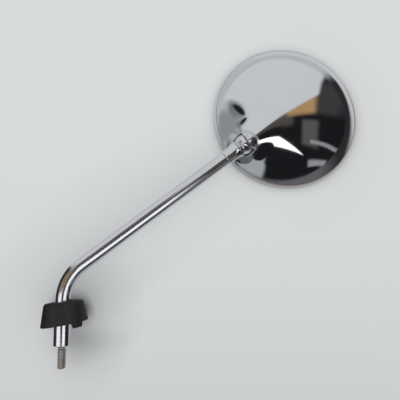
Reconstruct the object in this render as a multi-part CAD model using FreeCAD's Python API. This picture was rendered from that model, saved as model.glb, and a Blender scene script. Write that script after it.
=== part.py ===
import FreeCAD, Part
import math
import os

# A round scooter mirror: a domed shell that carries the glass, on a ball joint at the end of a
# bent tube, with a turned foot, a threaded stud and a rubber boot that slides on the foot.
# Millimetres and degrees. The origin is the centre of the foot's end face. +Z runs up the foot,
# the stem leans towards +X, the dome faces -Y and the glass faces +Y.

# Stud and foot
stud_radius = 3.0
stud_length = 15.0
stud_engagement = 10.0
stud_tip_chamfer = 0.8
undercut_radius = 2.4
undercut_length = 1.4
undercut_rise = 0.6
foot_radius = 6.0
foot_height = 29.0
foot_chamfer = 0.7

# Bent tube
tube_radius = 5.5
tube_wall = 1.4
tube_rise = 2.87
stem_angle = 53.8
bend_radius = 31.0
foot_spigot_length = 2.4

# Ball stud, measured along the stem from the centre of the ball
ball_reach = 169.9
ball_radius = 8.0
ball_flat = 6.9
ferrule_radius = 6.2
ferrule_length = 12.3
ferrule_end = 7.9
ferrule_rounding = 0.8
flare_length = 5.5
flare_rise = 0.9
flare_rounding = 0.4
neck_radius = 5.0
bead_radius = 7.2
bead_width = 1.3
bead_gap = 0.05
ferrule_spigot_length = 12.0
screw_hole_depth = 10.0

# Rubber boot: a skewed cone between two tilted circles
boot_height = 15.6
boot_rise = 2.1
boot_bottom_radius = 16.7
boot_bottom_offset = 1.5
boot_bottom_tilt = 8.5
boot_top_radius = 13.6
boot_top_offset = 0.3
boot_top_tilt = 5.3
boot_wall = 2.6
boot_collar = 6.5
boot_rounding = 2.2
lug_width = 5.3
lug_drop = 3.3
lug_centre = 13.2

# Head: shell, rim and glass, measured from the plane that the rim touches
ball_inset = 11.4
stem_rise = 16.5
sheet = 0.9
flange_radius = 58.3
flange_height = 4.8
shoulder_inset = 3.5
shoulder_height = 9.0
shoulder_rounding = 2.0
dome_radius = 85.3
bezel_wall = 0.8
bezel_height = 4.2
bezel_lip = 2.9
bezel_bulge = 0.85
bezel_bead_height = 1.8
gasket_lip = 0.75
gasket_wall = 0.85
gasket_overhang = 0.8
glass_thickness = 1.8
glass_curve = 1200.0
pad_margin = 6.4
pad_thickness = 0.9

# Hood and pocket round the ball, measured along the stem from the centre of the ball
lip_position = 4.5
lip_radius = 9.7
lip_width = 2.6
lip_rounding = 0.9
groove_radius = 8.8
hood_radius = 10.4
hood_crest = 13.0
hood_half_length = 17.0
hood_blend = 8.0
pocket_radius = 11.0
pocket_end = 8.2
pocket_corner = 2.0

# Clamp inside the hood
liner_wall = 0.6
seat_hole_radius = 4.15
pressure_radius = 6.0
pressure_edge = 0.55
pressure_flat_radius = 5.0
pressure_height = 1.0
pressure_hole_radius = 2.5
spring_radius = 4.8
spring_thickness = 0.6
spring_cone = 1.3
washer_radius = 4.6
washer_thickness = 0.8
screw_radius = 2.0
screw_tip_gap = 0.5
screw_head_radius = 3.5
screw_head_height = 2.4
screw_head_chamfer = 0.5
screw_slot_width = 1.0
screw_slot_depth = 1.1

# Fits
thread_clearance = 0.02
spigot_clearance = 0.02
boot_clearance = 0.06
ball_clearance = 0.1
rim_clearance = 0.05
glass_clearance = 0.1
washer_clearance = 0.15

# Worked-out places
full_turn = 360.0
overshoot = 2.0
same_point = 1e-6
stem_turn = math.radians(stem_angle)
stem_direction = FreeCAD.Vector(math.sin(stem_turn), 0, math.cos(stem_turn))
bend_tangent = bend_radius * math.tan(stem_turn / 2)
bend_start = foot_height + tube_rise
corner_height = bend_start + bend_tangent
boot_top_height = foot_height + boot_rise
boot_bottom_height = boot_top_height - boot_height
ball_centre = FreeCAD.Vector(0, 0, corner_height) + stem_direction * ball_reach
tube_end = ferrule_end + ferrule_length
tube_bore = tube_radius - tube_wall
head_reach = flange_radius - ball_inset
head_centre = ball_centre + stem_direction * head_reach + FreeCAD.Vector(0, stem_rise, 0)
liner_inner = ball_radius + ball_clearance
liner_outer = liner_inner + liner_wall
seat_inner = liner_outer + ball_clearance
seat_outer = seat_inner + sheet
pressure_inner = seat_outer + ball_clearance
pressure_top = pressure_inner + pressure_height
spring_start = pressure_top + washer_clearance
spring_middle = spring_start + spring_cone + spring_thickness
spring_end = spring_middle + washer_clearance + spring_cone + spring_thickness
washer_end = spring_end + washer_thickness
shoulder_radius = flange_radius - shoulder_inset
rim_radius = flange_radius + rim_clearance + bezel_wall + bezel_bulge
bezel_lip_radius = flange_radius - bezel_lip
gasket_radius = flange_radius - sheet - rim_clearance
gasket_inner_radius = bezel_lip_radius - gasket_overhang
glass_radius = gasket_radius - gasket_wall - glass_clearance
pad_radius = glass_radius - pad_margin
dome_centre = shoulder_height - math.sqrt(dome_radius ** 2 - shoulder_radius ** 2)
glass_front = bezel_wall + rim_clearance + gasket_lip + glass_clearance

# The foot stands upright, the stem frame has its origin in the ball and looks along the stem,
# the head frame has its origin in the rim plane and looks out of the dome.
foot_frame = FreeCAD.Placement()
stem_frame = FreeCAD.Placement(ball_centre, FreeCAD.Rotation(FreeCAD.Vector(0, 1, 0), stem_angle))
head_frame = FreeCAD.Placement(head_centre, FreeCAD.Rotation(FreeCAD.Vector(1, 0, 0), 90))


# A step of an outline is a point (radius, position), reached in a straight line, or a pair of
# points, reached by an arc through the first to the second. Arcs are kept as splines, so that
# a wide dome is divided evenly.
def face_of(steps):
    start = FreeCAD.Vector(steps[0][0], 0, steps[0][1])
    here = start
    edges = []
    for step in steps[1:]:
        if isinstance(step[0], tuple):
            through = FreeCAD.Vector(step[0][0], 0, step[0][1])
            there = FreeCAD.Vector(step[1][0], 0, step[1][1])
            edges.append(Part.Arc(here, through, there).toBSpline().toShape())
        else:
            there = FreeCAD.Vector(step[0], 0, step[1])
            edges.append(Part.makeLine(here, there))
        here = there
    if not here.isEqual(start, same_point):
        edges.append(Part.makeLine(here, start))
    return Part.Face(Part.Wire(edges))


def turned(frame, *steps):
    solid = face_of(steps).revolve(FreeCAD.Vector(), FreeCAD.Vector(0, 0, 1), full_turn)
    return placed(solid, frame)


def placed(solid, frame):
    moved = solid.copy()
    moved.Placement = frame
    return moved


def on_sphere(radius, position):
    return (math.sqrt(radius ** 2 - position ** 2), position)


def at_radius(sphere, radius):
    return (radius, math.sqrt(sphere ** 2 - radius ** 2))


def along_sphere(radius, start, end):
    middle = (math.atan2(start[0], start[1]) + math.atan2(end[0], end[1])) / 2
    return ((radius * math.sin(middle), radius * math.cos(middle)), end)


def corner(centre_radius, centre_position, rounding, start, end):
    middle = math.radians((start + end) / 2)
    last = math.radians(end)
    return (
        (centre_radius + rounding * math.cos(middle), centre_position + rounding * math.sin(middle)),
        (centre_radius + rounding * math.cos(last), centre_position + rounding * math.sin(last)),
    )


def mounting_stud():
    shank_end = -undercut_length
    return turned(
        foot_frame,
        (0, -stud_length),
        (stud_radius - stud_tip_chamfer, -stud_length),
        (stud_radius, stud_tip_chamfer - stud_length),
        (stud_radius, shank_end),
        (undercut_radius, shank_end),
        (undercut_radius, undercut_rise),
        (stud_radius, undercut_rise),
        (stud_radius, stud_engagement),
        (0, stud_engagement),
    )


def stem_foot():
    spigot = tube_bore - spigot_clearance
    hole = stud_radius + thread_clearance
    hole_end = stud_engagement + stud_tip_chamfer
    return turned(
        foot_frame,
        (hole, 0),
        (foot_radius - foot_chamfer, 0),
        (foot_radius, foot_chamfer),
        (foot_radius, foot_height),
        (spigot, foot_height),
        (spigot, foot_height + foot_spigot_length),
        (0, foot_height + foot_spigot_length),
        (0, hole_end + hole),
        (hole, hole_end),
    )


# A round bar along the stem: up from the foot, round the bend and on to the ferrule.
def bent_bar(radius):
    bend_foot = FreeCAD.Vector(0, 0, bend_start)
    bend_centre = FreeCAD.Vector(bend_radius, 0, bend_start)
    across = FreeCAD.Vector(0, 1, 0)
    disc = Part.Face(Part.Wire(Part.makeCircle(radius, bend_foot)))
    bend = disc.revolve(bend_centre, across, stem_angle)
    lower = Part.makeCylinder(radius, bend_start - foot_height, FreeCAD.Vector(0, 0, foot_height))
    bend_end = FreeCAD.Vector(0, 0, corner_height) + stem_direction * bend_tangent
    straight = ball_reach - tube_end - bend_tangent
    upper = Part.makeCylinder(radius, straight, bend_end, stem_direction)
    return lower.fuse([bend, upper])


def stem_tube():
    return bent_bar(tube_radius).cut(bent_bar(tube_bore)).removeSplitter()


def ball_stud():
    spigot = tube_bore - spigot_clearance
    hole = screw_radius + thread_clearance
    hole_end = ball_flat - screw_hole_depth
    neck_end = (neck_radius, -math.sqrt(ball_radius ** 2 - neck_radius ** 2))
    bead_end = neck_end[1] - bead_gap
    bead_start = bead_end - bead_width
    bead_edge = bead_radius - bead_width / 2
    flat = on_sphere(ball_radius, ball_flat)
    flare_end = -ferrule_end - flare_rounding
    flare_radius = ferrule_radius + flare_rise
    hollow = (flare_length ** 2 + flare_rise ** 2) / (2 * flare_rise)
    half_turn = math.asin(flare_length / hollow) / 2
    flare_middle = (
        ferrule_radius + hollow * (1 - math.cos(half_turn)),
        flare_end - flare_length + hollow * math.sin(half_turn),
    )
    return turned(
        stem_frame,
        (0, -tube_end - ferrule_spigot_length),
        (spigot, -tube_end - ferrule_spigot_length),
        (spigot, -tube_end),
        (ferrule_radius - ferrule_rounding, -tube_end),
        corner(ferrule_radius - ferrule_rounding, ferrule_rounding - tube_end, ferrule_rounding, -90, 0),
        (ferrule_radius, flare_end - flare_length),
        (flare_middle, (flare_radius, flare_end)),
        corner(flare_radius - flare_rounding, flare_end, flare_rounding, 0, 90),
        (neck_radius, -ferrule_end),
        (neck_radius, bead_start),
        (bead_edge, bead_start),
        ((bead_radius, (bead_start + bead_end) / 2), (bead_edge, bead_end)),
        (neck_radius, bead_end),
        neck_end,
        ((ball_radius, 0), flat),
        (hole, ball_flat),
        (hole, hole_end),
        (0, hole_end - hole),
    )


# A circle of the boot's cone: fraction 0 is its lower edge and 1 its top.
def boot_circle(fraction, inset):
    def blend(low, high):
        return low + (high - low) * fraction

    circle = Part.Wire(Part.makeCircle(blend(boot_bottom_radius, boot_top_radius) - inset))
    tilt = FreeCAD.Rotation(FreeCAD.Vector(0, 1, 0), -blend(boot_bottom_tilt, boot_top_tilt))
    offset = blend(boot_bottom_offset, boot_top_offset)
    height = blend(boot_bottom_height, boot_top_height)
    circle.Placement = FreeCAD.Placement(FreeCAD.Vector(offset, 0, height), tilt)
    return circle


def boot_cone(low, high, inset):
    return Part.makeLoft([boot_circle(low, inset), boot_circle(high, inset)], True, True)


def rubber_boot():
    lug_reach = lug_drop / boot_height
    cavity = boot_cone(-2 * lug_reach, 1 - boot_collar / boot_height, boot_wall)
    body = boot_cone(0, 1, 0)
    top_edge = max(body.Edges, key=lambda edge: edge.CenterOfMass.z)
    body = body.makeFillet(boot_rounding, [top_edge])
    skirt = boot_cone(-lug_reach, lug_reach, 0)
    window = Part.makeBox(
        lug_width, boot_bottom_radius, boot_top_height,
        FreeCAD.Vector(lug_centre - lug_width / 2, -boot_bottom_radius, 0))
    bore = Part.makeCylinder(foot_radius + boot_clearance, 2 * boot_top_height)
    return body.fuse(skirt.common(window)).cut([cavity, bore]).removeSplitter()


# The rounding that touches a wall and the inside of a dome: where it leaves the wall, and its arc.
# The wall runs up from its foot to the shoulder, which lies on the dome.
def shoulder_arc(foot, shoulder, dome_middle, radius):
    wall = (shoulder - foot).normalize()
    inward = FreeCAD.Vector(-wall.y, wall.x)
    reach = foot + inward * shoulder_rounding - dome_middle
    along = reach.dot(wall)
    run = math.sqrt(along ** 2 - reach.dot(reach) + (radius - shoulder_rounding) ** 2) - along
    middle = foot + inward * shoulder_rounding + wall * run
    outward = (middle - dome_middle).normalize()
    halfway = middle + (outward - inward).normalize() * shoulder_rounding
    leave = middle - inward * shoulder_rounding
    end = middle + outward * shoulder_rounding
    return (leave.x, leave.y), ((halfway.x, halfway.y), (end.x, end.y))


# The dome, wall and flange of the shell, with every face moved inwards by the inset.
def dome_body(inset, bottom):
    radius = dome_radius - inset
    edge_radius = shoulder_radius - inset
    flange = FreeCAD.Vector(flange_radius - inset, flange_height)
    shoulder = FreeCAD.Vector(edge_radius, dome_centre + math.sqrt(radius ** 2 - edge_radius ** 2))
    leave, rounding = shoulder_arc(flange, shoulder, FreeCAD.Vector(0, dome_centre), radius)
    half = math.asin(rounding[1][0] / radius) / 2
    crown = (
        (radius * math.sin(half), dome_centre + radius * math.cos(half)),
        (0, dome_centre + radius),
    )
    return turned(
        head_frame,
        (0, bottom),
        (flange.x, bottom),
        (flange.x, flange.y),
        leave,
        rounding,
        crown,
    )


# The hood over the ball, an egg along the stem that sinks into the dome.
def hood_body(inset):
    crest = FreeCAD.Vector(hood_radius - inset, 0, hood_crest)
    middle = FreeCAD.Vector(0, 0, hood_crest)
    tip = FreeCAD.Vector(0, 0, hood_crest + hood_half_length - inset)
    half_egg = Part.ArcOfEllipse(Part.Ellipse(tip, crest, middle), 0, math.pi).toShape()
    axis = Part.makeLine(half_egg.Vertexes[-1].Point, half_egg.Vertexes[0].Point)
    outline = Part.Face(Part.Wire([half_egg, axis]))
    return placed(outline.revolve(FreeCAD.Vector(), FreeCAD.Vector(0, 0, 1), full_turn), stem_frame)


# The pocket pressed into the dome, which leaves room for the ball and the ferrule.
def pocket_body(inset):
    radius = pocket_radius + inset
    end = pocket_end + inset
    return turned(
        stem_frame,
        (0, -head_reach),
        (radius, -head_reach),
        (radius, end - pocket_corner),
        corner(radius - pocket_corner, end - pocket_corner, pocket_corner, 0, 90),
        (0, end),
    )


# The round lip at the end of the pocket that holds the ball's seat.
def lip_body(inset):
    front = lip_position + inset
    back = lip_position + lip_width
    return turned(
        stem_frame,
        (0, front),
        (lip_radius - inset - lip_rounding, front),
        corner(lip_radius - inset - lip_rounding, front + lip_rounding, lip_rounding, -90, 0),
        (lip_radius - inset, back - lip_rounding),
        (groove_radius - inset, back),
        (groove_radius - inset, hood_crest),
        (0, hood_crest),
    )


def shell_body(inset, bottom):
    joined = dome_body(inset, bottom).fuse(hood_body(inset))
    closed = [edge for edge in joined.Edges if edge.isClosed() and not edge.Degenerated]
    crease = [edge for edge in closed if (edge.CenterOfMass - ball_centre).Length < hood_half_length]
    blended = joined.Solids[0].makeFillet(hood_blend + inset, crease)
    seat = Part.makeSphere(seat_inner + inset, ball_centre)
    return blended.cut(pocket_body(inset)).fuse(lip_body(inset)).cut(seat)


def rear_shell():
    bottom = bezel_wall + rim_clearance
    outside = shell_body(0, bottom)
    inside = shell_body(sheet, bottom - overshoot)
    hole = Part.makeCylinder(seat_hole_radius, hood_crest, ball_centre, stem_direction)
    return outside.cut([inside, hole]).removeSplitter()


def rim_bezel():
    inner = flange_radius + rim_clearance
    outer = inner + bezel_wall
    return turned(
        head_frame,
        (bezel_lip_radius, 0),
        (inner, 0),
        ((rim_radius, bezel_bead_height), (outer, bezel_height)),
        (inner, bezel_height),
        (inner, bezel_wall),
        (bezel_lip_radius, bezel_wall),
    )


def rim_gasket():
    low = bezel_wall + rim_clearance
    slot_low = low + gasket_lip
    slot_high = slot_low + glass_thickness + 2 * glass_clearance
    slot_radius = glass_radius + glass_clearance
    return turned(
        head_frame,
        (gasket_inner_radius, low),
        (gasket_radius, low),
        (gasket_radius, slot_high + gasket_lip),
        (gasket_inner_radius, slot_high + gasket_lip),
        (gasket_inner_radius, slot_high),
        (slot_radius, slot_high),
        (slot_radius, slot_low),
        (gasket_inner_radius, slot_low),
    )


# A curved disc parallel to the front of the glass, between two distances behind it.
def curved_disc(radius, near, far):
    crown = glass_front - glass_curve + math.sqrt(glass_curve ** 2 - glass_radius ** 2)

    def depth(at, back):
        return crown + back + glass_curve - math.sqrt(glass_curve ** 2 - at ** 2)

    return turned(
        head_frame,
        (0, depth(0, near)),
        ((radius / 2, depth(radius / 2, near)), (radius, depth(radius, near))),
        (radius, depth(radius, far)),
        ((radius / 2, depth(radius / 2, far)), (0, depth(0, far))),
    )


def mirror_glass():
    return curved_disc(glass_radius, 0, glass_thickness)


def backing_pad():
    start = glass_thickness + rim_clearance
    return curved_disc(pad_radius, start, start + pad_thickness)


def seat_liner():
    mouth_inner = on_sphere(liner_inner, lip_position)
    mouth_outer = on_sphere(liner_outer, lip_position)
    hole_inner = at_radius(liner_inner, seat_hole_radius)
    hole_outer = at_radius(liner_outer, seat_hole_radius)
    return turned(
        stem_frame,
        mouth_inner,
        mouth_outer,
        along_sphere(liner_outer, mouth_outer, hole_outer),
        hole_inner,
        along_sphere(liner_inner, hole_inner, mouth_inner),
    )


def pressure_washer():
    hole = at_radius(pressure_inner, pressure_hole_radius)
    edge = at_radius(pressure_inner, pressure_radius)
    return turned(
        stem_frame,
        hole,
        along_sphere(pressure_inner, hole, edge),
        (edge[0], edge[1] + pressure_edge),
        (pressure_flat_radius, pressure_top),
        (pressure_hole_radius, pressure_top),
    )


# A disc spring: a thin cone between its outer edge and its hole.
def disc_spring(outer_position, hole_position):
    hole = screw_radius + washer_clearance
    return turned(
        stem_frame,
        (hole, hole_position),
        (spring_radius, outer_position),
        (spring_radius, outer_position + spring_thickness),
        (hole, hole_position + spring_thickness),
    )


def lower_disc_spring():
    return disc_spring(spring_start + spring_cone, spring_start)


def upper_disc_spring():
    middle = spring_middle + washer_clearance
    return disc_spring(middle, middle + spring_cone)


def spring_washer():
    hole = screw_radius + washer_clearance
    return turned(
        stem_frame,
        (hole, spring_end),
        (washer_radius, spring_end),
        (washer_radius, washer_end),
        (hole, washer_end),
    )


def clamp_screw():
    tip = ball_flat - screw_hole_depth + screw_tip_gap
    head_end = washer_end + screw_head_height
    screw = turned(
        stem_frame,
        (0, tip),
        (screw_radius, tip),
        (screw_radius, washer_end),
        (screw_head_radius, washer_end),
        (screw_head_radius, head_end - screw_head_chamfer),
        (screw_head_radius - screw_head_chamfer, head_end),
        (0, head_end),
    )
    slot = Part.makeBox(
        2 * screw_head_radius, screw_slot_width, screw_slot_depth + overshoot,
        FreeCAD.Vector(-screw_head_radius, -screw_slot_width / 2, head_end - screw_slot_depth))
    return screw.cut(placed(slot, stem_frame))


pieces = (
    mounting_stud, stem_foot, stem_tube, ball_stud, rubber_boot, rear_shell, rim_bezel, rim_gasket,
    mirror_glass, backing_pad, seat_liner, pressure_washer, lower_disc_spring, upper_disc_spring,
    spring_washer, clamp_screw,
)

os.makedirs("parts", exist_ok=True)
for piece in pieces:
    shape = piece()
    shape.exportStep("parts/" + piece.__name__ + ".step")
    print(piece.__name__, shape.ShapeType, len(shape.Solids), shape.isValid(), round(shape.Volume, 1))
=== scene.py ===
import bpy
import math
import numpy as np
from mathutils import Matrix


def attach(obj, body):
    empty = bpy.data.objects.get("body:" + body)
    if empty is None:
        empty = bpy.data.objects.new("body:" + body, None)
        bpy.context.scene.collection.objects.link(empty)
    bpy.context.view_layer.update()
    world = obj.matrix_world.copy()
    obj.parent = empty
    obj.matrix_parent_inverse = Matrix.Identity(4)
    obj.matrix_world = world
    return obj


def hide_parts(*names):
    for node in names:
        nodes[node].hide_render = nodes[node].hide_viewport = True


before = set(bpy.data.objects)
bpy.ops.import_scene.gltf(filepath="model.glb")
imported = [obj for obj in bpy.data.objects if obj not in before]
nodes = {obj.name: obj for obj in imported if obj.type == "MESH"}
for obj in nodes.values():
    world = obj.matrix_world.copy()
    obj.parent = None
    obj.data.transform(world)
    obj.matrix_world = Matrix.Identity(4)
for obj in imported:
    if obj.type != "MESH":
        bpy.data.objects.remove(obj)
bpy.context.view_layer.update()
mm = 0.001
tiny = 1e-9  # keeps a division by a length from failing

# the lean of the stem in degrees and the places along it in millimetres, as in the solids
layout = {
    "stemAngle": 53.8, "footHeight": 29.0, "tubeRise": 2.87, "bendRadius": 31.0,
    "ballReach": 169.9, "headReach": 46.9, "stemRise": 16.5,
}
stemTurn = math.radians(layout["stemAngle"])
stemWay = np.array([math.sin(stemTurn), 0, math.cos(stemTurn)])
stemSide = np.array([math.cos(stemTurn), 0, -math.sin(stemTurn)])
backWay = np.array([0, 1.0, 0])
bendRadius = layout["bendRadius"]
bendStart = layout["footHeight"] + layout["tubeRise"]
bendTangent = bendRadius * math.tan(stemTurn / 2)
ballCentre = np.array([0, 0, bendStart + bendTangent]) + stemWay * layout["ballReach"]
headCentre = ballCentre + stemWay * layout["headReach"] + backWay * layout["stemRise"]

# a place is an origin and the directions of its own x, y and z
footPlace = (np.zeros(3), np.eye(3))
stemPlace = (ballCentre, np.array([stemSide, backWay, stemWay]))
headPlace = (headCentre, np.array([[1, 0, 0], [0, 0, 1], [0, -1, 0]]))

# a corner stays when half its angle is more than flat degrees; an arc takes at most a share of each side,
# and a guard point stands just outside each of its ends, by a length or by a share if that is less
roundingRule = {"flat": 89.0, "most": 0.48, "guard": 0.06, "guardShare": 0.02}


# each corner p becomes an arc of its radius that touches both sides: the mean of the arc's two ends and p,
# weighted by (1 - q)^2, q^2 and 2 q (1 - q) sin(half the corner), with q from 0 to 1
def rounded(corners, radii, loop=False, steps=6):
    p = np.array(corners, float)
    r = np.broadcast_to(np.array(radii, float), len(p)).copy()
    before, after = np.roll(p, 1, axis=0) - p, np.roll(p, -1, axis=0) - p
    if not loop:
        before[0], after[-1] = -after[0], -before[-1]
        r[[0, -1]] = 0
    runBefore = np.linalg.norm(before, axis=1, keepdims=True)
    runAfter = np.linalg.norm(after, axis=1, keepdims=True)
    u, v = before / runBefore, after / runAfter
    half = np.arccos(np.clip((u * v).sum(1), -1, 1)) / 2
    straight = half > math.radians(roundingRule["flat"])
    reach = np.where(straight, 0, r / np.tan(np.where(straight, 1, half)))
    reach = np.minimum(reach, roundingRule["most"] * np.minimum(runBefore, runAfter)[:, 0])[:, None]
    start, end = p + u * reach, p + v * reach
    q = np.linspace(0, 1, steps + 1)[None, :, None]
    low, mid, high = (1 - q) ** 2, 2 * np.sin(half)[:, None, None] * q * (1 - q), q ** 2
    arc = (low * start[:, None] + mid * p[:, None] + high * end[:, None]) / (low + mid + high)
    guard, share = roundingRule["guard"], roundingRule["guardShare"]
    lead = (start + u * np.minimum(guard, share * runBefore))[:, None]
    tail = (end + v * np.minimum(guard, share * runAfter))[:, None]
    out = np.concatenate([lead, arc, tail], axis=1)
    if not loop:
        out[0, :], out[-1, :] = p[0], p[-1]
    return out.reshape(-1, 2)


# P(i, a) = origin + r(i) cos a X + r(i) sin a Y + z(i) Z, an outline turned about its place's axis
def turned(outline, place, around=144):
    origin, axes = place
    angle = np.linspace(0, 2 * np.pi, around, endpoint=False)
    r, z = outline[:, :1], outline[:, 1:]
    local = np.stack([r * np.cos(angle), r * np.sin(angle), z + 0 * angle], axis=-1)
    return origin + local @ axes


# the quads between neighbouring rows of a grid whose rows close on themselves
def skin(rows, loop=False):
    n, m = rows.shape[:2]
    index = np.arange(n * m).reshape(n, m)
    if loop:
        index = np.vstack([index, index[:1]])
    beside = np.roll(index, -1, axis=1)
    quads = np.stack([index[:-1], beside[:-1], beside[1:], index[1:]], axis=-1).reshape(-1, 4)
    return rows.reshape(-1, 3), quads


# merges points that are equal to a millionth of a millimetre, so that poles become fans, and turns the
# faces outwards
def welded(points, quads, digits=6):
    _, first, back = np.unique(np.round(points, digits), axis=0, return_index=True, return_inverse=True)
    faces = back.reshape(-1)[quads]
    repeated = faces == np.roll(faces, -1, axis=1)
    count = repeated.sum(1)
    four = faces[count == 0]
    three = faces[count == 1][~repeated[count == 1]].reshape(-1, 3)
    kept = points[first]
    centred = kept - kept.mean(0)
    fans = np.concatenate([four[:, :3], four[:, [0, 2, 3]], three])
    a, b, c = centred[fans[:, 0]], centred[fans[:, 1]], centred[fans[:, 2]]
    if (a * np.cross(b, c)).sum() < 0:
        four, three = four[:, ::-1], three[:, ::-1]
    return kept, four, three


def addObject(name, data):
    made = bpy.data.objects.new(name, data)
    bpy.context.scene.collection.objects.link(made)
    return made


# a piece from one or more skins, which rides on a body in place of CAD nodes
def makePiece(name, skins, body, replaced, material, sharp=40):
    points, faces, done = [], [], 0
    for part in skins:
        kept, four, three = welded(*part)
        points.append(kept * mm)
        faces += (four + done).tolist() + (three + done).tolist()
        done += len(kept)
    mesh = bpy.data.meshes.new(name)
    mesh.from_pydata(np.concatenate(points), [], faces)
    mesh.shade_smooth()
    mesh.set_sharp_from_angle(angle=math.radians(sharp))
    mesh.validate()
    piece = addObject(name, mesh)
    mesh.materials.append(material)
    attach(piece, body)
    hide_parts(*replaced)
    print("made", name, len(faces), "faces")


# one socket of a node tree; sums on it add Math nodes, and node() adds any other node
class Wire:
    def __init__(self, tree, socket=None):
        self.tree, self.socket = tree, socket

    def node(self, kind, settings, values, out=0):
        made = self.tree.nodes.new(kind)
        for name, value in settings.items():
            setattr(made, name, value)
        for name, value in values.items():
            if isinstance(value, Wire):
                self.tree.links.new(value.socket, made.inputs[name])
            else:
                made.inputs[name].default_value = value
        return Wire(self.tree, made.outputs[out] if len(made.outputs) else None)

    def maths(self, operation, a, b):
        return self.node("ShaderNodeMath", {"operation": operation}, {0: a, 1: b})

    def __add__(self, other):
        return self.maths("ADD", self, other)

    def __radd__(self, other):
        return self.maths("ADD", other, self)

    def __sub__(self, other):
        return self.maths("SUBTRACT", self, other)

    def __rsub__(self, other):
        return self.maths("SUBTRACT", other, self)

    def __mul__(self, other):
        return self.maths("MULTIPLY", self, other)

    def __rmul__(self, other):
        return self.maths("MULTIPLY", other, self)

    # another output of the node that this socket is on
    def beside(self, out):
        return Wire(self.tree, self.socket.node.outputs[out])

    # 0 at low and 1 at high, with a smooth step between
    def step(self, low, high):
        return self.node("ShaderNodeMapRange", {"interpolation_type": "SMOOTHSTEP"},
                         {"Value": self, "From Min": low, "From Max": high})

    # with this as the share of the second colour
    def mix(self, first, second):
        first, second = (colour if isinstance(colour, Wire) else (*colour, 1) for colour in (first, second))
        return self.node("ShaderNodeMix", {"data_type": "RGBA"}, {0: self, 6: first, 7: second}, 2)

    def noise(self, scale, detail=4, rough=0.55):
        return self.node("ShaderNodeTexNoise", {},
                         {"Vector": self, "Scale": scale, "Detail": detail, "Roughness": rough})

    def along(self, way):
        return self.node("ShaderNodeVectorMath", {"operation": "DOT_PRODUCT"}, {0: self, 1: way}, 1)

    def away(self, point):
        return self.node("ShaderNodeVectorMath", {"operation": "DISTANCE"}, {0: self, 1: tuple(point)}, 1)

    def stretched(self, scale):
        return self.node("ShaderNodeMapping", {}, {"Vector": self, "Scale": scale})

    def bump(self, strength, distance):
        return self.node("ShaderNodeBump", {}, {"Strength": strength, "Distance": distance, "Height": self})


def newMaterial(name):
    material = bpy.data.materials.new(name)
    material.use_nodes = True
    where = Wire(material.node_tree).node("ShaderNodeTexCoord", {}, {}, "Object")
    return material, where


# puts numbers on the shader's sockets and links what varies
def dress(material, values):
    shader = material.node_tree.nodes["Principled BSDF"]
    for name, value in values.items():
        if isinstance(value, Wire):
            material.node_tree.links.new(value.socket, shader.inputs[name])
        else:
            shader.inputs[name].default_value = value
    return material


# in each look a noise is its scale, detail and roughness, a step where it starts and is full, and a bump
# its strength and its depth in metres

# the shell is polished brighter than the rim and the stem, apart from its cup round the ball
chromeLook = {
    "tint": (0.80, 0.81, 0.83), "haze": (0.70, 0.71, 0.72), "bright": 0.05, "plain": 0.17,
    "cupStep": (0.0135, 0.0115),
    "smearNoise": (22, 5, 0.6), "smearStep": (0.48, 0.75), "smearHaze": 0.5, "smearRough": 0.05,
    "speckNoise": (900, 2), "speckStep": (0.72, 0.80), "speckHaze": 0.4, "speckRough": 0.15,
    "hairNoise": (420, 3), "hairStep": (0.58, 0.72), "hairStretch": (1, 1, 14), "hairRough": 0.02,
    "bump": (0.02, 0.00002),
}


def chromePlate(name, base, look):
    material, where = newMaterial(name)
    smear = where.noise(*look["smearNoise"]).step(*look["smearStep"])
    speck = where.noise(*look["speckNoise"]).step(*look["speckStep"])
    hair = where.stretched(look["hairStretch"]).noise(*look["hairNoise"]).step(*look["hairStep"])
    colour = (smear * look["smearHaze"] + speck * look["speckHaze"]).mix(look["tint"], look["haze"])
    cup = where.away(ballCentre * mm).step(*look["cupStep"])
    rough = base + cup * (look["plain"] - base) + smear * look["smearRough"]
    rough = rough + hair * look["hairRough"] + speck * look["speckRough"]
    return dress(material, {"Base Color": colour, "Metallic": 1.0, "Roughness": rough,
                            "Normal": hair.bump(*look["bump"])})


# the stud: zinc with oily grime, and gilt towards the tip
studLook = {
    "zinc": (0.52, 0.51, 0.49), "oil": (0.10, 0.085, 0.065), "gilt": (0.50, 0.40, 0.24),
    "metal": 0.9, "rough": 0.42, "grainNoise": (900, 3), "grainRough": 0.08,
    "grimeNoise": (150, 4, 0.6), "grimeStep": (0.5, 0.75), "grimeShare": 0.5, "grimeRough": 0.15,
    "giltNoise": (300, 3), "giltStep": (0.35, 0.6), "giltHeights": (-0.010, -0.0145), "giltShare": 0.7,
    "bump": (0.05, 0.00003),
}


def zincStud(look):
    material, where = newMaterial("yellowedZinc")
    grain = where.noise(*look["grainNoise"])
    tip = where.along((0, 0, 1)).step(*look["giltHeights"])
    gilt = tip * where.noise(*look["giltNoise"]).step(*look["giltStep"])
    grime = where.noise(*look["grimeNoise"]).step(*look["grimeStep"])
    colour = (gilt * look["giltShare"]).mix(look["zinc"], look["gilt"])
    colour = (grime * look["grimeShare"]).mix(colour, look["oil"])
    rough = look["rough"] + grain * look["grainRough"] + grime * look["grimeRough"]
    return dress(material, {"Base Color": colour, "Metallic": look["metal"], "Roughness": rough,
                            "Normal": grain.bump(*look["bump"])})


rubberLook = {
    "black": (0.0075, 0.007, 0.0085), "worn": (0.012, 0.0115, 0.0135), "dust": (0.06, 0.058, 0.06),
    "rough": 0.5, "gloss": 0.35, "grainNoise": (2600, 3, 0.6),
    "cloudNoise": (320, 5, 0.6), "cloudStep": (0.35, 0.7), "cloudRough": 0.15,
    "dustNoise": (1300, 4, 0.7), "dustStep": (0.64, 0.80), "dustShare": 0.15, "dustRough": 0.1,
    "bump": (0.12, 0.00005),
}


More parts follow.
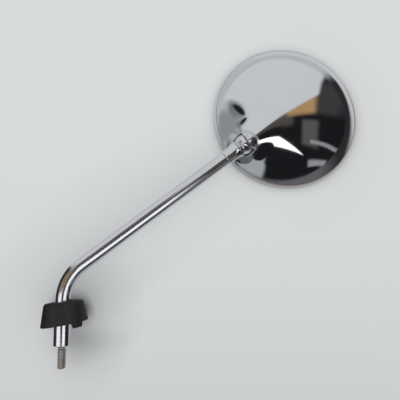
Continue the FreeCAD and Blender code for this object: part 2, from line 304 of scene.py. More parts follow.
def mouldedRubber(look):
    material, where = newMaterial("mouldedRubber")
    cloud, grain = where.noise(*look["cloudNoise"]), where.noise(*look["grainNoise"])
    dust = where.noise(*look["dustNoise"]).step(*look["dustStep"])
    colour = cloud.step(*look["cloudStep"]).mix(look["black"], look["worn"])
    colour = (dust * look["dustShare"]).mix(colour, look["dust"])
    rough = look["rough"] + cloud * look["cloudRough"] + dust * look["dustRough"]
    return dress(material, {"Base Color": colour, "Roughness": rough, "Specular IOR Level": look["gloss"],
                            "Normal": (grain + cloud).bump(*look["bump"])})


glassLook = {
    "silver": (0.88, 0.90, 0.90), "film": (0.80, 0.82, 0.83), "rough": 0.005, "coat": 0.3, "coatRough": 0.01,
    "smearNoise": (30, 5, 0.65), "smearStep": (0.5, 0.8), "smearFilm": 0.35, "smearRough": 0.02,
    "speckNoise": (1100, 2), "speckStep": (0.76, 0.82), "speckFilm": 0.5, "speckRough": 0.2,
}


def silveredGlass(look):
    material, where = newMaterial("silveredGlass")
    smear = where.noise(*look["smearNoise"]).step(*look["smearStep"])
    speck = where.noise(*look["speckNoise"]).step(*look["speckStep"])
    colour = (smear * look["smearFilm"] + speck * look["speckFilm"]).mix(look["silver"], look["film"])
    rough = look["rough"] + smear * look["smearRough"] + speck * look["speckRough"]
    return dress(material, {"Base Color": colour, "Metallic": 1.0, "Roughness": rough,
                            "Coat Weight": look["coat"], "Coat Roughness": look["coatRough"]})


# the plain finishes inside the head: two tones, the grain's scale, metal or not, and roughness
plainLook = {
    "nylonCup": {"light": (0.80, 0.79, 0.74), "dark": (0.68, 0.67, 0.62),
                 "scale": 600, "metal": 0.0, "rough": 0.4},
    "foamPad": {"light": (0.075, 0.075, 0.078), "dark": (0.035, 0.035, 0.036),
                "scale": 1800, "metal": 0.0, "rough": 0.85},
    "plainZinc": {"light": (0.56, 0.56, 0.55), "dark": (0.40, 0.40, 0.39),
                  "scale": 900, "metal": 1.0, "rough": 0.3},
}
plainGrain = {"step": (0.35, 0.65), "rough": 0.1, "bump": (0.2, 0.00005)}


def plainFinish(name, look):
    material, where = newMaterial(name)
    grain = where.noise(look["scale"])
    colour = grain.step(*plainGrain["step"]).mix(look["light"], look["dark"])
    rough = look["rough"] + grain * plainGrain["rough"]
    return dress(material, {"Base Color": colour, "Metallic": look["metal"], "Roughness": rough,
                            "Normal": grain.bump(*plainGrain["bump"])})


brightChrome = chromePlate("brightChrome", chromeLook["bright"], chromeLook)
chrome = chromePlate("plainChrome", chromeLook["plain"], chromeLook)
stud, rubber, mirror = zincStud(studLook), mouldedRubber(rubberLook), silveredGlass(glassLook)
nylon, foam, zinc = (plainFinish(name, look) for name, look in plainLook.items())
print("materials ready")

# the stud's thread: r(z, a) = r - depth * clip((|2 mod(z / pitch - a / 2 pi, 1) - 1| - crest) / flank), cut
# back by a chamfer at the tip and by a run-out at the undercut
studShape = {
    "r": 3.0, "length": 15.0, "engagement": 10.0, "chamfer": 0.8, "rounding": 0.15,
    "pitch": 1.0, "depth": 0.6, "crest": 0.12, "flank": 0.66, "runOut": 1.2,
    "undercutR": 2.4, "undercutLow": -1.4, "undercutHigh": 0.6, "rows": 290, "around": 96,
}


def threadedStud(s):
    angle = np.linspace(0, 2 * np.pi, s["around"], endpoint=False)[None, :]
    z = np.linspace(-s["length"], s["undercutLow"], s["rows"])[:, None]
    wave = np.abs(2 * np.mod(z / s["pitch"] - angle / (2 * np.pi), 1) - 1)
    r = s["r"] - s["depth"] * np.clip((wave - s["crest"]) / s["flank"], 0, 1)
    r = np.minimum(r, s["r"] - s["chamfer"] + z + s["length"])
    r = np.minimum(r, s["undercutR"] + s["runOut"] * (s["undercutLow"] - z))
    shank = np.stack([r * np.cos(angle), r * np.sin(angle), z + 0 * angle], axis=-1)
    top = rounded([(s["undercutR"], s["undercutLow"]), (s["undercutR"], s["undercutHigh"]),
                   (s["r"], s["undercutHigh"]), (s["r"], s["engagement"]), (0, s["engagement"])],
                  s["rounding"])
    tip = np.array([(0, -s["length"])])
    tip, top = (turned(outline, footPlace, s["around"]) for outline in (tip, top))
    return skin(np.concatenate([tip, shank, top]))


makePiece("threaded_stud", [threadedStud(studShape)], "stem", ["mounting_stud"], stud)

# the foot, from the inner end of the stud's hole round its end face and side to the spigot in the tube
footShape = {
    "r": 6.0, "chamfer": 0.7, "hole": 3.02, "holeEnd": 10.8, "spigot": 4.08, "spigotLength": 2.4,
    "roundings": (0, 0.1, 0.15, 0.3, 0.5, 0.2, 0.1, 0.2, 0),
}


def turnedFoot(s):
    top = layout["footHeight"]
    spigotEnd = top + s["spigotLength"]
    outline = rounded([(0, s["holeEnd"] + s["hole"]), (s["hole"], s["holeEnd"]), (s["hole"], 0),
                       (s["r"] - s["chamfer"], 0), (s["r"], s["chamfer"]), (s["r"], top),
                       (s["spigot"], top), (s["spigot"], spigotEnd), (0, spigotEnd)], s["roundings"])
    return skin(turned(outline, footPlace))


makePiece("turned_foot", [turnedFoot(footShape)], "stem", ["stem_foot"], chrome)

# the bent tube: a ring carried along a straight, an arc and a straight, outside and back inside
tubeShape = {
    "r": 5.5, "bore": 4.1, "end": 20.2, "lowSteps": 3, "bendSteps": 72, "straightSteps": 40, "around": 128,
}


def bentTube(s):
    bend = np.linspace(0, stemTurn, s["bendSteps"])
    rise = np.linspace(layout["footHeight"], bendStart, s["lowSteps"], endpoint=False)
    low = np.stack([0 * rise, rise], axis=1)
    arc = np.stack([bendRadius * (1 - np.cos(bend)), bendStart + bendRadius * np.sin(bend)], axis=1)
    end = (ballCentre - stemWay * s["end"])[[0, 2]]
    share = np.linspace(0, 1, s["straightSteps"])[1:, None]
    path = np.concatenate([low, arc, arc[-1] + (end - arc[-1]) * share])
    turn = np.concatenate([np.zeros(len(low)), bend, np.full(len(share), stemTurn)])[:, None]
    angle = np.linspace(0, 2 * np.pi, s["around"], endpoint=False)[None, :]

    def ring(radius):
        x = path[:, :1] + radius * np.cos(angle) * np.cos(turn)
        z = path[:, 1:] - radius * np.cos(angle) * np.sin(turn)
        return np.stack([x, radius * np.sin(angle) + 0 * turn, z], axis=-1)

    return skin(np.concatenate([ring(s["r"]), ring(s["bore"])[::-1]]), loop=True)


makePiece("bent_tube", [bentTube(tubeShape)], "stem", ["stem_tube"], chrome)

# ferrule, neck, bead and ball on the end of the stem, positions from the centre of the ball
ballShape = {
    "ball": 8.0, "flat": 6.9, "ballSteps": 64, "hole": 2.02, "holeEnd": -3.1,
    "ferrule": 6.2, "ferruleStart": -20.2, "ferruleEnd": -7.9, "rounding": 0.8,
    "flare": 5.5, "flareRise": 0.9, "flareRounding": 0.4, "flareSteps": 20, "brim": 0.03,
    "neck": 5.0, "neckRounding": 0.1, "neckFoot": 0.02,
    "bead": 7.2, "beadWidth": 1.3, "beadGap": 0.05, "beadFoot": 0.05, "beadRound": 0.96,
    "spigot": 4.08, "spigotLength": 12.0, "spigotRounding": 0.3, "seam": 0.1, "arcSteps": 10,
}


def turnedBall(s):
    foot = -math.sqrt(s["ball"] ** 2 - s["neck"] ** 2)
    beadEnd = foot - s["beadGap"]
    beadStart = beadEnd - s["beadWidth"]
    start, end, flareEnd = s["ferruleStart"], s["ferruleEnd"], s["ferruleEnd"] - s["flareRounding"]
    # the flare is a hollow arc that leaves the ferrule's side without a step
    hollow = (s["flare"] ** 2 + s["flareRise"] ** 2) / (2 * s["flareRise"])
    turn = np.linspace(0, math.asin(s["flare"] / hollow), s["flareSteps"])
    flare = np.stack([s["ferrule"] + hollow * (1 - np.cos(turn)),
                      flareEnd - s["flare"] + hollow * np.sin(turn)], 1)
    spigotEnd = start - s["spigotLength"]
    low = rounded([(0, spigotEnd), (s["spigot"], spigotEnd), (s["spigot"], start), (s["ferrule"], start),
                   flare[0]], [0, s["spigotRounding"], s["seam"], s["rounding"], 0], steps=s["arcSteps"])
    beadR = s["beadRound"] * s["beadWidth"] / 2
    neck = rounded([flare[-1], (flare[-1, 0] + s["brim"], end), (s["neck"], end), (s["neck"], beadStart),
                    (s["bead"], beadStart), (s["bead"], beadEnd), (s["neck"], beadEnd), (s["neck"], foot)],
                   [0, s["flareRounding"], s["neckRounding"], s["beadFoot"], beadR, beadR, s["neckFoot"], 0],
                   steps=s["arcSteps"])
    turn = np.linspace(math.atan2(s["neck"], foot), math.acos(s["flat"] / s["ball"]), s["ballSteps"])[1:]
    ball = s["ball"] * np.stack([np.sin(turn), np.cos(turn)], 1)
    tip = np.array([(s["hole"], s["flat"]), (s["hole"], s["holeEnd"]), (0, s["holeEnd"] - s["hole"])])
    return skin(turned(np.concatenate([low, flare[1:-1], neck, ball, tip]), stemPlace))


makePiece("ball_neck", [turnedBall(ballShape)], "stem", ["ball_stud"], chrome)

# the boot: its outline turned about a leaning axis; low circles are wider, further out and more tilted, and
# the bore stays round on the foot; the outline starts at the low edge and runs over the top to the inside
bootShape = {
    "height": 15.6, "low": 15.5, "lowR": 16.7, "topR": 13.6, "lowOffset": 1.5, "topOffset": 0.3,
    "lowTilt": 8.5, "topTilt": 5.3, "wall": 2.6, "collar": 6.5, "bore": 6.06, "brim": 9.6, "hollow": 1.7,
    "roundings": (0.7, 2.6, 1.2, 0.8, 0.3, 0.4, 0.8, 0.5), "boreGap": 0.4, "boreBlend": 3.0,
    "lugWidth": 5.3, "lugDrop": 3.3, "lugCentre": 13.2, "lugSoft": 0.5, "lugFade": 1.6,
    "runs": 5, "around": 240,
}


def skewBoot(s):
    roof, well = s["height"] - s["collar"], s["height"] - s["hollow"]
    slope = (s["lowR"] - s["topR"]) / s["height"]
    outline = rounded([(s["lowR"], 0), (s["topR"], s["height"]), (s["brim"], s["height"]),
                       (s["brim"] - s["hollow"], well), (s["bore"], well), (s["bore"], roof),
                       (s["lowR"] - slope * roof - s["wall"], roof), (s["lowR"] - s["wall"], 0)],
                      s["roundings"], loop=True)
    runs = np.linspace(0, 1, s["runs"], endpoint=False)[None, :, None]
    ahead = np.roll(outline, -1, axis=0)
    outline = (outline[:, None] * (1 - runs) + ahead[:, None] * runs).reshape(-1, 2)
    angle = np.linspace(0, 2 * np.pi, s["around"], endpoint=False)[None, :]
    r, z = outline[:, :1], outline[:, 1:]
    # the lug hangs from the low edge at the front, and its sides run out as w^2 (3 - 2 w)
    plain = s["lowOffset"] + s["lowR"] * np.cos(angle)
    window = np.clip((s["lugWidth"] / 2 - np.abs(plain - s["lugCentre"])) / s["lugSoft"] + 0.5, 0, 1)
    window = window * (np.sin(angle) < 0)
    drop = s["lugDrop"] * window * window * (3 - 2 * window) * np.clip(1 - z / s["lugFade"], 0, 1)
    share = (z - drop) / s["height"]
    r = r + slope * drop
    tilt = np.radians(s["lowTilt"] + (s["topTilt"] - s["lowTilt"]) * share)
    offset = s["lowOffset"] + (s["topOffset"] - s["lowOffset"]) * share
    skewed = offset + r * np.cos(angle) * np.cos(tilt)
    loose = np.clip((r - s["bore"] - s["boreGap"]) / s["boreBlend"], 0, 1)
    x = loose * skewed + (1 - loose) * r * np.cos(angle)
    y = r * np.sin(angle)
    height = s["low"] + share * s["height"] + (x - offset) * np.tan(tilt)
    return skin(np.stack([x, y, height], axis=-1), loop=True)


makePiece("skew_boot", [skewBoot(bootShape)], "boot", ["rubber_boot"], rubber, sharp=60)

# the stamped shell, as heights h over a grid of rays (run, a) that start at the hood and end at the rim
shellShape = {
    "dome": 85.3, "shoulderR": 54.8, "shoulderH": 9.0, "shoulderRound": 2.0, "flangeR": 58.3, "flangeH": 4.8,
    "bottom": 0.85, "skirt": 0.2, "sheet": 0.5,
    "eggUp": 8.87, "eggAcross": 9.2, "eggCrest": 6.3, "eggHalf": 32.3, "eggFront": 10.0, "eggDrop": 4.9,
    "blend": 9.7, "pocketR": 8.5, "flare": 0.15, "flareStart": 6.0, "draft": 0.1, "edge": 0.9,
    "rayStart": 9.0, "around": 320, "nearRuns": 130, "nearReach": 17.0, "farRuns": 70, "farPower": 1.25,
    "rimGuard": 0.00001, "lowest": -2.0, "highest": 40.0, "halvings": 44, "innerEvery": 8,
}


# the smaller of two distances with a round fillet of radius k between them
def filleted(a, b, k):
    return np.maximum(k, np.minimum(a, b)) - np.hypot(np.maximum(k - a, 0), np.maximum(k - b, 0))


# how far a point (along the stem, across it, height) is outside the shell's outer face
def outsideShell(s, t, w, h):
    run = np.hypot(t - layout["headReach"], w)
    middle = s["shoulderH"] - math.sqrt(s["dome"] ** 2 - s["shoulderR"] ** 2)
    dome = np.hypot(run, h - middle) - s["dome"]
    rise, out = s["shoulderH"] - s["flangeH"], s["flangeR"] - s["shoulderR"]
    wall = ((run - s["shoulderR"]) * rise + (h - s["shoulderH"]) * out) / math.hypot(rise, out)
    body = -filleted(-dome, -wall, s["shoulderRound"])
    up = h - layout["stemRise"]
    # the hood: an egg whose axis lies below the stem's, shorter in front of its crest
    half = np.where(t < s["eggCrest"], s["eggFront"], s["eggHalf"])
    a, b, c = (t - s["eggCrest"]) / half, w / s["eggAcross"], (up + s["eggDrop"]) / s["eggUp"]
    reach = np.sqrt(a * a + b * b + c * c)
    steep = np.sqrt((a / half) ** 2 + (b / s["eggAcross"]) ** 2 + (c / s["eggUp"]) ** 2)
    hooded = filleted(body, (reach - 1) * reach / np.maximum(steep, tiny), s["blend"])
    # the pocket: half a ball and a trough below the stem's axis, with nearly upright walls above it
    room = s["pocketR"] + s["flare"] * np.maximum(-t - s["flareStart"], 0)
    across = np.where(up < 0, np.hypot(w, up), np.maximum(np.abs(w) - s["draft"] * up, 0))
    pocket = np.hypot(np.maximum(t, 0), across) - room
    return -filleted(-hooded, pocket, s["edge"])


def stampedShell(s):
    angle = np.linspace(0, 2 * np.pi, s["around"], endpoint=False)
    # each ray runs from the hood to the rim: the far root of |start + q ray| = flange radius
    start = s["rayStart"] - layout["headReach"]
    towards = start * np.cos(angle)
    longest = -towards + np.sqrt(towards ** 2 + s["flangeR"] ** 2 - start ** 2)
    near = np.linspace(0, s["nearReach"], s["nearRuns"])[:, None] + 0 * angle
    far = (np.linspace(0, 1, s["farRuns"]) ** s["farPower"])[1:, None]
    q = np.concatenate([near, s["nearReach"] + far * (longest - s["nearReach"])])
    # the last row stops just inside the rim
    q[-1] *= 1 - s["rimGuard"]
    t, w = s["rayStart"] + q * np.cos(angle), q * np.sin(angle)
    # the height at which a point is neither outside nor inside, found by halving
    low, high = np.full(t.shape, s["lowest"]), np.full(t.shape, s["highest"])
    for _ in range(s["halvings"]):
        middle = (low + high) / 2
        outside = outsideShell(s, t, w, middle) > 0
        low, high = np.where(outside, low, middle), np.where(outside, middle, high)
    h = np.maximum((low + high) / 2, s["bottom"] + s["skirt"])
    axes = np.array([stemWay, stemSide, -backWay])
    upper = ballCentre + backWay * layout["stemRise"] + np.stack([t, w, h], axis=-1) @ axes
    edge = upper[-1:].copy()
    edge[..., 1] = headCentre[1] - s["bottom"]
    # the inner face: some of the rows, moved inwards by the sheet's thickness
    along = np.gradient(upper, axis=0)
    around = np.roll(upper, -1, axis=1) - np.roll(upper, 1, axis=1)
    normal = np.cross(along, around)
    normal /= np.maximum(np.linalg.norm(normal, axis=-1, keepdims=True), tiny)
    normal *= np.sign((normal * -backWay).sum(-1, keepdims=True))
    inside = (upper - normal * s["sheet"])[::-s["innerEvery"]]
    inside[-1] = inside[-1].mean(0)
    flat = [0, 2]
    rim = edge.copy()
    rim[..., flat] = headCentre[flat] + (edge[..., flat] - headCentre[flat]) * (1 - s["sheet"] / s["flangeR"])
    return skin(np.concatenate([upper, edge, rim, inside[1:]]))


# the cup that holds the ball, turned about an axis that leans back from the stem's: a dished seat, a
# rolled lip, a groove and a round back that sinks into the hood
lipShape = {
    "lean": 20.0, "seat": 8.8, "hole": 4.15, "front": 3.6, "r": 9.4, "width": 2.2, "rounding": 0.9,
    "groove": 8.1, "grooveEnd": 6.4, "grooveRise": 0.1, "grooveRounding": 0.15,
    "bulb": 10.6, "bulbEnd": 2.0, "bulbRounding": 0.4, "seatWall": 0.2,
    "dishSteps": 32, "arcSteps": 10, "around": 144,
}


def seatLip(s):
    def dish(radius, start, end):
        turn = np.linspace(math.asin(start / radius), math.asin(end / radius), s["dishSteps"])
        return radius * np.stack([np.sin(turn), np.cos(turn)], 1)

    lean = math.radians(s["lean"])
    axis = stemWay * math.cos(lean) - backWay * math.sin(lean)
    lift = stemWay * math.sin(lean) + backWay * math.cos(lean)
    place = (ballCentre, np.array([stemSide, lift, axis]))
    mouth, back = math.sqrt(s["seat"] ** 2 - s["front"] ** 2), s["front"] + s["width"]
    seat = dish(s["seat"], s["hole"], mouth)
    bulb = dish(s["bulb"], math.sqrt(s["bulb"] ** 2 - s["grooveEnd"] ** 2), s["bulbEnd"])
    face = rounded([(mouth, s["front"]), (s["r"], s["front"]), (s["r"], back),
                    (s["groove"], back + s["grooveRise"]), (s["groove"], s["grooveEnd"]), bulb[0], bulb[1]],
                   [0, s["rounding"], s["rounding"], s["grooveRounding"], s["grooveRounding"],
                    s["bulbRounding"], 0], steps=s["arcSteps"])
    inner = dish(s["seat"] + s["seatWall"], s["bulbEnd"], s["hole"])
    outline = np.concatenate([seat, face[1:-1], bulb[1:], inner])
    return skin(turned(outline, place, s["around"]), loop=True)


makePiece("stamped_shell", [stampedShell(shellShape), seatLip(lipShape)], "head", ["rear_shell"],
          brightChrome)

# the rolled rim: a thin band bent round the flange, the gasket and the edge of the glass; its side swells as
# (1 - q)^2 low + 2 q (1 - q) knot + q^2 high, through the bead halfway
rimShape = {
    "flange": 58.35, "wall": 0.8, "r": 60.0, "beadH": 1.8, "height": 4.2, "lip": 55.4,
    "roundings": (0, 0.5, 0.1, 0.3, 0.3, 0), "swellSteps": 25, "arcSteps": 10, "around": 256,
}


def rolledRim(s):
    q = np.linspace(0, 1, s["swellSteps"])[:, None]
    low, bead = np.array([s["flange"], 0]), np.array([s["r"], s["beadH"]])
    high = np.array([s["flange"] + s["wall"], s["height"]])
    knot = bead * 2 - (low + high) / 2
    belly = (1 - q) ** 2 * low + 2 * q * (1 - q) * knot + q ** 2 * high
    edge = rounded([belly[-1], (s["flange"], s["height"]), (s["flange"], s["wall"]), (s["lip"], s["wall"]),
                    (s["lip"], 0), belly[0]], s["roundings"], steps=s["arcSteps"])
    return skin(turned(np.concatenate([belly[:-1], edge[1:-1]]), headPlace, s["around"]), loop=True)


makePiece("rolled_rim", [rolledRim(rimShape)], "head", ["rim_bezel"], chrome)

# the glass: two faces of one curve, z = crown + curve - sqrt(curve^2 - run^2), and a ground edge
glassShape = {"r": 56.4, "front": 1.7, "thick": 1.8, "curve": 1200.0, "grind": 0.3, "runs": 24, "around": 192}


def curvedGlass(s):
    run = np.linspace(0, s["r"] - s["grind"], s["runs"])
    crown = s["front"] - s["curve"] + math.sqrt(s["curve"] ** 2 - s["r"] ** 2)
    sag = crown + s["curve"] - np.sqrt(s["curve"] ** 2 - run ** 2)
    front = np.stack([run, sag], 1)
    back = np.stack([run, sag + s["thick"]], 1)[::-1]
    edge = np.array([(s["r"], s["front"] + s["grind"]), (s["r"], s["front"] + s["thick"] - s["grind"])])
    return skin(turned(np.concatenate([front, edge, back]), headPlace, s["around"]))


makePiece("curved_glass", [curvedGlass(glassShape)], "head", ["mirror_glass"], mirror)

# the pieces that keep their solids
kept = {
    "rim_gasket": rubber, "backing_pad": foam, "seat_liner": nylon, "pressure_washer": zinc,
    "lower_disc_spring": zinc, "upper_disc_spring": zinc, "spring_washer": zinc, "clamp_screw": zinc,
}
for name, material in kept.items():
    nodes[name].data.materials.clear()
    nodes[name].data.materials.append(material)
print("pieces ready")


# puts a camera or a lamp at a place in metres, with its own x, y and z in these directions
def placed(made, x, y, z, place):
    matrix = np.eye(4)
    matrix[:3] = np.stack([x, y, z, place], axis=1)
    made.matrix_world = Matrix(matrix.tolist())


# camera: where it stands in millimetres, how it is turned in degrees, its lens, and its clip in metres
cameraView = {
    "place": (80.24, -316.56, 52.59), "up": 9.198, "round": -3.701, "roll": -1.347,
    "lens": 37.8, "sensor": 36.0, "clip": (0.01, 50),
}


def aimCamera(v):
    up, around, roll = (math.radians(v[name]) for name in ("up", "round", "roll"))
    tilt = np.array([[1, 0, 0], [0, math.cos(up), -math.sin(up)], [0, math.sin(up), math.cos(up)]])
    swing = np.array([[math.cos(around), -math.sin(around), 0], [math.sin(around), math.cos(around), 0],
                      [0, 0, 1]])
    right = swing @ tilt @ [math.cos(roll), 0, math.sin(roll)]
    above = swing @ tilt @ [-math.sin(roll), 0, math.cos(roll)]
    ahead = swing @ tilt @ [0, 1, 0]
    data = bpy.data.cameras.new("photoView")
    data.lens, data.sensor_width = v["lens"], v["sensor"]
    data.clip_start, data.clip_end = v["clip"]
    camera = addObject("photoView", data)
    placed(camera, right, above, -ahead, np.array(v["place"]) * mm)
    bpy.context.scene.camera = camera


aimCamera(cameraView)


# a material with no nodes yet, and the sheet to lay them on
def bareMaterial(name):
    material = bpy.data.materials.new(name)
    material.use_nodes = True
    material.node_tree.nodes.clear()
    return material, Wire(material.node_tree)


# the floor that the mirror lies on: clear apart from the object's own soft shadow, which is a close one, one
# to the right that is deepest at the foot, and one to the upper left that fades out beside the head;
# y is in millimetres, and the other lengths are in metres
floorLook = {
    "y": 16.9, "size": 3.0, "shadow": (0.05, 0.055, 0.06), "samples": 16,
    "near": 0.010, "nearDark": 0.7,
    "far": 0.045, "lean": (-1.0, -0.8, 0.25), "farDark": 0.8, "highDark": 0.3, "farHeights": (0.075, 0.035),
    "footDark": 0.7, "footHeights": (0.014, -0.002),
    "rear": 0.06, "rearLean": (0.6, -0.8, -0.8), "rearDark": 0.55, "rearHeights": (0.19, 0.12),
    "glassStep": (0.059, 0.058),
}


def shadowFloor(s):
    mesh = bpy.data.meshes.new("paleFloor")
    r, y = s["size"], s["y"] * mm
    mesh.from_pydata([(-r, y, -r), (r, y, -r), (r, y, r), (-r, y, r)], [], [(0, 1, 2, 3)])
    floor = addObject("paleFloor", mesh)
    material, sheet = bareMaterial("paleFloor")

    # how open the floor is to a side
    def openness(reach, lean):
        x, y, z = (float(part) for part in np.array(lean) / np.linalg.norm(lean))
        way = sheet.node("ShaderNodeCombineXYZ", {}, {"X": x, "Y": y, "Z": z})
        return sheet.node("ShaderNodeAmbientOcclusion", {"samples": s["samples"]},
                          {"Distance": reach, "Normal": way}, "AO")

    close = sheet.node("ShaderNodeAmbientOcclusion", {"samples": s["samples"]}, {"Distance": s["near"]}, "AO")
    wide, rear = openness(s["far"], s["lean"]), openness(s["rear"], s["rearLean"])
    spot = sheet.node("ShaderNodeNewGeometry", {}, {}, "Position")
    behind = spot.beside("Backfacing")
    glossy = sheet.node("ShaderNodeLightPath", {}, {}, "Is Glossy Ray")
    # the glass, which lies close above the floor, doesn't show the shadow under itself
    under = glossy * spot.away(headCentre * mm).step(*s["glassStep"])
    high = spot.along((0, 0, 1))
    wideDark = s["highDark"] + high.step(*s["farHeights"]) * (s["farDark"] - s["highDark"])
    wideDark = wideDark + high.step(*s["footHeights"]) * s["footDark"]
    rearDark = high.step(*s["rearHeights"]) * s["rearDark"]
    shade = (1 - close) * s["nearDark"] + (1 - wide) * wideDark + (1 - rear) * rearDark
    shade = sheet.node("ShaderNodeClamp", {}, {"Value": shade * (1 - behind) * (1 - under)})
    clear = sheet.node("ShaderNodeBsdfTransparent", {}, {"Color": shade.mix((1, 1, 1), s["shadow"])})
    sheet.node("ShaderNodeOutputMaterial", {}, {"Surface": clear})
    mesh.materials.append(material)
    floor.visible_diffuse = floor.visible_shadow = floor.visible_transmission = False


shadowFloor(floorLook)

# the studio: a pale backdrop and even light, and soft patches that only reflections show
studio = {
    "backdrop": (0.66, 0.675, 0.68), "backdropRise": 0.22, "backdropSag": 0.28, "backdropSpan": 0.6,
    "fill": 0.75, "dark": (0.012, 0.011, 0.013), "floor": (0.62, 0.63, 0.64), "floorStep": (0.20, 0.42),
}

# each patch lies between x = left and x = right, and above and below two lines z = height + slope x,
# where (x, y, z) is the direction that it is seen in; later patches cover earlier ones
patches = [
    {"left": 0.66, "right": 0.94, "low": (0.22, 0.0), "high": (0.68, 0.0),
     "soft": 0.06, "colour": (0.05, 0.05, 0.052)},
    {"left": 0.42, "right": 0.70, "low": (-0.38, 0.0), "high": (0.06, 0.05),
     "soft": 0.05, "colour": (0.10, 0.10, 0.10)},
    {"left": 0.57, "right": 1.2, "low": (-0.39, 0.10), "high": (-0.33, 0.10),
     "soft": 0.02, "colour": (0.30, 0.30, 0.31)},
    {"left": 0.55, "right": 0.84, "low": (-0.90, 0.38), "high": (-0.82, 0.40),
     "soft": 0.03, "colour": (0.32, 0.32, 0.33)},
    {"left": -0.7, "right": 0.24, "low": (-0.06, 0.1), "high": (0.3, 0.5),
     "soft": 0.07, "colour": (0.085, 0.075, 0.067)},
    {"left": 0.13, "right": 0.65, "low": (0.115, 0.17), "high": (0.2, 0.60),
     "soft": 0.06, "colour": (0.46, 0.29, 0.14)},
    {"left": -2.0, "right": 0.68, "low": (0.135, 0.60), "high": (2.0, 0.0),
     "soft": 0.03, "colour": (0.65, 0.66, 0.68)},
    {"left": -2.0, "right": -0.68, "low": (-0.5, 0.0), "high": (0.45, 0.0),
     "soft": 0.14, "colour": (0.30, 0.31, 0.32)},
    {"left": -2.0, "right": -0.30, "low": (-2.0, 0.0), "high": (-0.15, 0.0),
     "soft": 0.05, "colour": (0.40, 0.415, 0.42)},
    {"left": -0.21, "right": 0.46, "low": (-0.467, -0.189), "high": (-0.2875, -0.583),
     "soft": 0.012, "colour": (1.7, 1.72, 1.75)},
]
# each spot is an oval round a direction (x, z), with half-widths and a turn in degrees
spots = [
    {"x": -0.74, "z": 0.38, "half": (0.10, 0.18), "turn": 10.0,
     "soft": 0.9, "colour": (0.20, 0.205, 0.20)},
    {"x": -0.695, "z": 0.36, "half": (0.045, 0.13), "turn": 20.0,
     "soft": 0.5, "colour": (0.015, 0.015, 0.017)},
]
# near the horizon the studio is grey, pale above and on the left, and dark on the right apart from low down
horizon = {
    "grey": (0.13, 0.135, 0.14), "step": (-0.14, -0.04), "lean": 0.1,
    "dark": (0.028, 0.028, 0.030), "darkSide": (0.45, 0.70), "darkRise": (-0.75, -0.25),
    "pale": (0.52, 0.53, 0.55), "paleSide": (0.76, 0.62), "paleRise": (0.0, 0.6), "paleSlope": 0.35,
}


def lightStudio(s):
    world = bpy.data.worlds.new("studio")
    bpy.context.scene.world = world
    world.use_nodes = True
    world.node_tree.nodes.clear()
    sheet = Wire(world.node_tree)
    way = sheet.node("ShaderNodeTexCoord", {}, {}, "Generated")
    x, y, z = (way.along(axis) for axis in ((1, 0, 0), (0, 1, 0), (0, 0, 1)))
    colour = s["dark"]
    for patch in patches:
        soft = patch["soft"]
        above = z - (x * patch["low"][1] + patch["low"][0])
        below = (x * patch["high"][1] + patch["high"][0]) - z
        inside = above.step(-soft, soft) * below.step(-soft, soft)
        inside = inside * (x - patch["left"]).step(-soft, soft) * (patch["right"] - x).step(-soft, soft)
        colour = inside.mix(colour, patch["colour"])
    for spot in spots:
        turn, (wide, tall) = math.radians(spot["turn"]), spot["half"]
        right, above = x - spot["x"], z - spot["z"]
        u = (right * math.cos(turn) + above * math.sin(turn)) * (1 / wide)
        v = (above * math.cos(turn) - right * math.sin(turn)) * (1 / tall)
        inside = (u * u + v * v).step(1 + spot["soft"], 1 - spot["soft"])
        colour = inside.mix(colour, spot["colour"])
    h = horizon
    far = (x.step(*h["darkSide"]) * z.step(*h["darkRise"])).mix(h["grey"], h["dark"])
    far = ((z - x * h["paleSlope"]).step(*h["paleRise"]) * x.step(*h["paleSide"])).mix(far, h["pale"])
    colour = (y - z * h["lean"]).step(*h["step"]).mix(colour, far)
    colour = y.step(*s["floorStep"]).mix(colour, s["floor"])
    # the camera sees the backdrop, painted lighter a little above the middle and darker towards the bottom as
    # a painted fall of light; reflections see the patches, and the rest is even light
    seen = sheet.node("ShaderNodeLightPath", {}, {}, "Is Camera Ray")
    span = s["backdropSpan"]
    level = sheet.node("ShaderNodeClamp", {}, {"Value": z, "Min": -span, "Max": span})
    rise = 1 + level * s["backdropRise"] - level * level * s["backdropSag"]
    backdrop = sheet.node("ShaderNodeVectorMath", {"operation": "SCALE"}, {0: s["backdrop"], "Scale": rise})
    colour = seen.beside("Is Glossy Ray").mix((s["fill"], s["fill"], s["fill"]), colour)
    light = sheet.node("ShaderNodeBackground", {}, {"Color": seen.mix(colour, backdrop), "Strength": 1.0})
    sheet.node("ShaderNodeOutputWorld", {}, {"Surface": light})
    world.cycles.sampling_method = "NONE"


lightStudio(studio)

# cards beside the stem that only its reflections show, strips that follow it between two places and between
# two angles, which change from the foot to the top; a fade is the length over which a card thins out
cards = [
    {"name": "rightCard", "reach": 45.0, "start": -25.0, "end": 190.0,
     "foot": (15.0, 46.0), "top": (20.0, 54.0), "fade": 60.0, "light": (1.1, 1.11, 1.13)},
    {"name": "leftCard", "reach": 60.0, "start": -25.0, "end": 35.0,
     "foot": (-57.0, -13.0), "top": (-52.0, -14.0), "fade": 0.0, "light": (1.02, 1.03, 1.05)},
    {"name": "tanCard", "reach": 60.0, "start": 35.0, "end": 50.0,
     "foot": (-50.0, -5.0), "top": (-50.0, -5.0), "fade": 0.0, "light": (0.27, 0.16, 0.085)},
    {"name": "edgeCard", "reach": 60.0, "start": -25.0, "end": 52.0,
     "foot": (-130.0, -64.0), "top": (-130.0, -64.0), "fade": 0.0, "light": (0.03, 0.025, 0.035)},
    {"name": "upperCard", "reach": 45.0, "start": 50.0, "end": 180.0,
     "foot": (-32.0, -6.0), "top": (-32.0, -6.0), "fade": 50.0, "light": (0.12, 0.10, 0.105)},
]
# a card is clear to rays longer than the first share of its reach and full below the second, so the head
# doesn't show it
cardGrid = {"rows": 60, "columns": 9, "seen": (1.55, 1.3)}


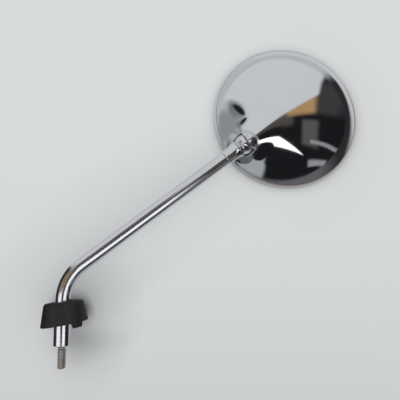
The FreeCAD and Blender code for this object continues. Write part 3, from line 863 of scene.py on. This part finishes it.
# P(q, a) = stem(q) + reach (sin a side(q) + cos a front), with q along the stem from the foot's end
def hangCard(s):
    rows, columns = cardGrid["rows"], cardGrid["columns"]
    q = np.linspace(s["start"], s["end"], rows)[:, None]
    turn = np.clip((q - bendStart) / bendRadius, 0, stemTurn)
    beyond = np.maximum(q - bendStart - bendRadius * stemTurn, 0)
    stemX = bendRadius * (1 - np.cos(turn)) + beyond * math.sin(stemTurn)
    stemZ = np.minimum(q, bendStart) + bendRadius * np.sin(turn) + beyond * math.cos(stemTurn)
    share = turn / stemTurn
    edges = np.radians(np.array(s["foot"]) * (1 - share) + np.array(s["top"]) * share)
    angle = edges[:, :1] + (edges[:, 1:] - edges[:, :1]) * np.linspace(0, 1, columns)[None, :]
    out, front = s["reach"] * np.sin(angle), s["reach"] * np.cos(angle)
    grid = np.stack([stemX + out * np.cos(turn), -front, stemZ - out * np.sin(turn)], axis=-1) * mm
    index = np.arange(rows * columns).reshape(rows, columns)
    quads = np.stack([index[:-1, :-1], index[:-1, 1:], index[1:, 1:], index[1:, :-1]], axis=-1).reshape(-1, 4)
    mesh = bpy.data.meshes.new(s["name"])
    mesh.from_pydata(grid.reshape(-1, 3), [], quads.tolist())
    material, sheet = bareMaterial(s["name"])
    far, near = (part * s["reach"] * mm for part in cardGrid["seen"])
    shown = sheet.node("ShaderNodeLightPath", {}, {}, "Ray Length").step(far, near)
    if s["fade"]:
        last = float(stemWay @ [stemX[-1, 0], 0, stemZ[-1, 0]])
        run = sheet.node("ShaderNodeTexCoord", {}, {}, "Object").along(tuple(stemWay))
        shown = shown * run.step(last * mm, (last - s["fade"]) * mm)
    glow = sheet.node("ShaderNodeEmission", {}, {"Color": (*s["light"], 1), "Strength": 1.0})
    clear = sheet.node("ShaderNodeBsdfTransparent", {}, {})
    both = sheet.node("ShaderNodeMixShader", {}, {0: shown, 1: clear, 2: glow})
    sheet.node("ShaderNodeOutputMaterial", {}, {"Surface": both})
    mesh.materials.append(material)
    card = addObject(s["name"], mesh)
    card.visible_camera = card.visible_diffuse = card.visible_shadow = card.visible_transmission = False


for card in cards:
    hangCard(card)

# one broad soft lamp from the upper left, which the chrome doesn't show
lamp = {"place": (-0.55, -0.75, 0.75), "aim": (0.10, 0.0, 0.12), "size": 0.6, "watts": 9.0}


def hangLamp(s):
    data = bpy.data.lights.new("softLamp", "AREA")
    data.energy, data.size = s["watts"], s["size"]
    made = addObject("softLamp", data)
    back = np.array(s["place"]) - np.array(s["aim"])
    back = back / np.linalg.norm(back)
    side = np.cross([0, 0, 1.0], back)
    side = side / np.linalg.norm(side)
    placed(made, side, np.cross(back, side), back, s["place"])
    made.visible_glossy = False


hangLamp(lamp)
bpy.context.scene.view_settings.view_transform = "Standard"
print("stage ready")
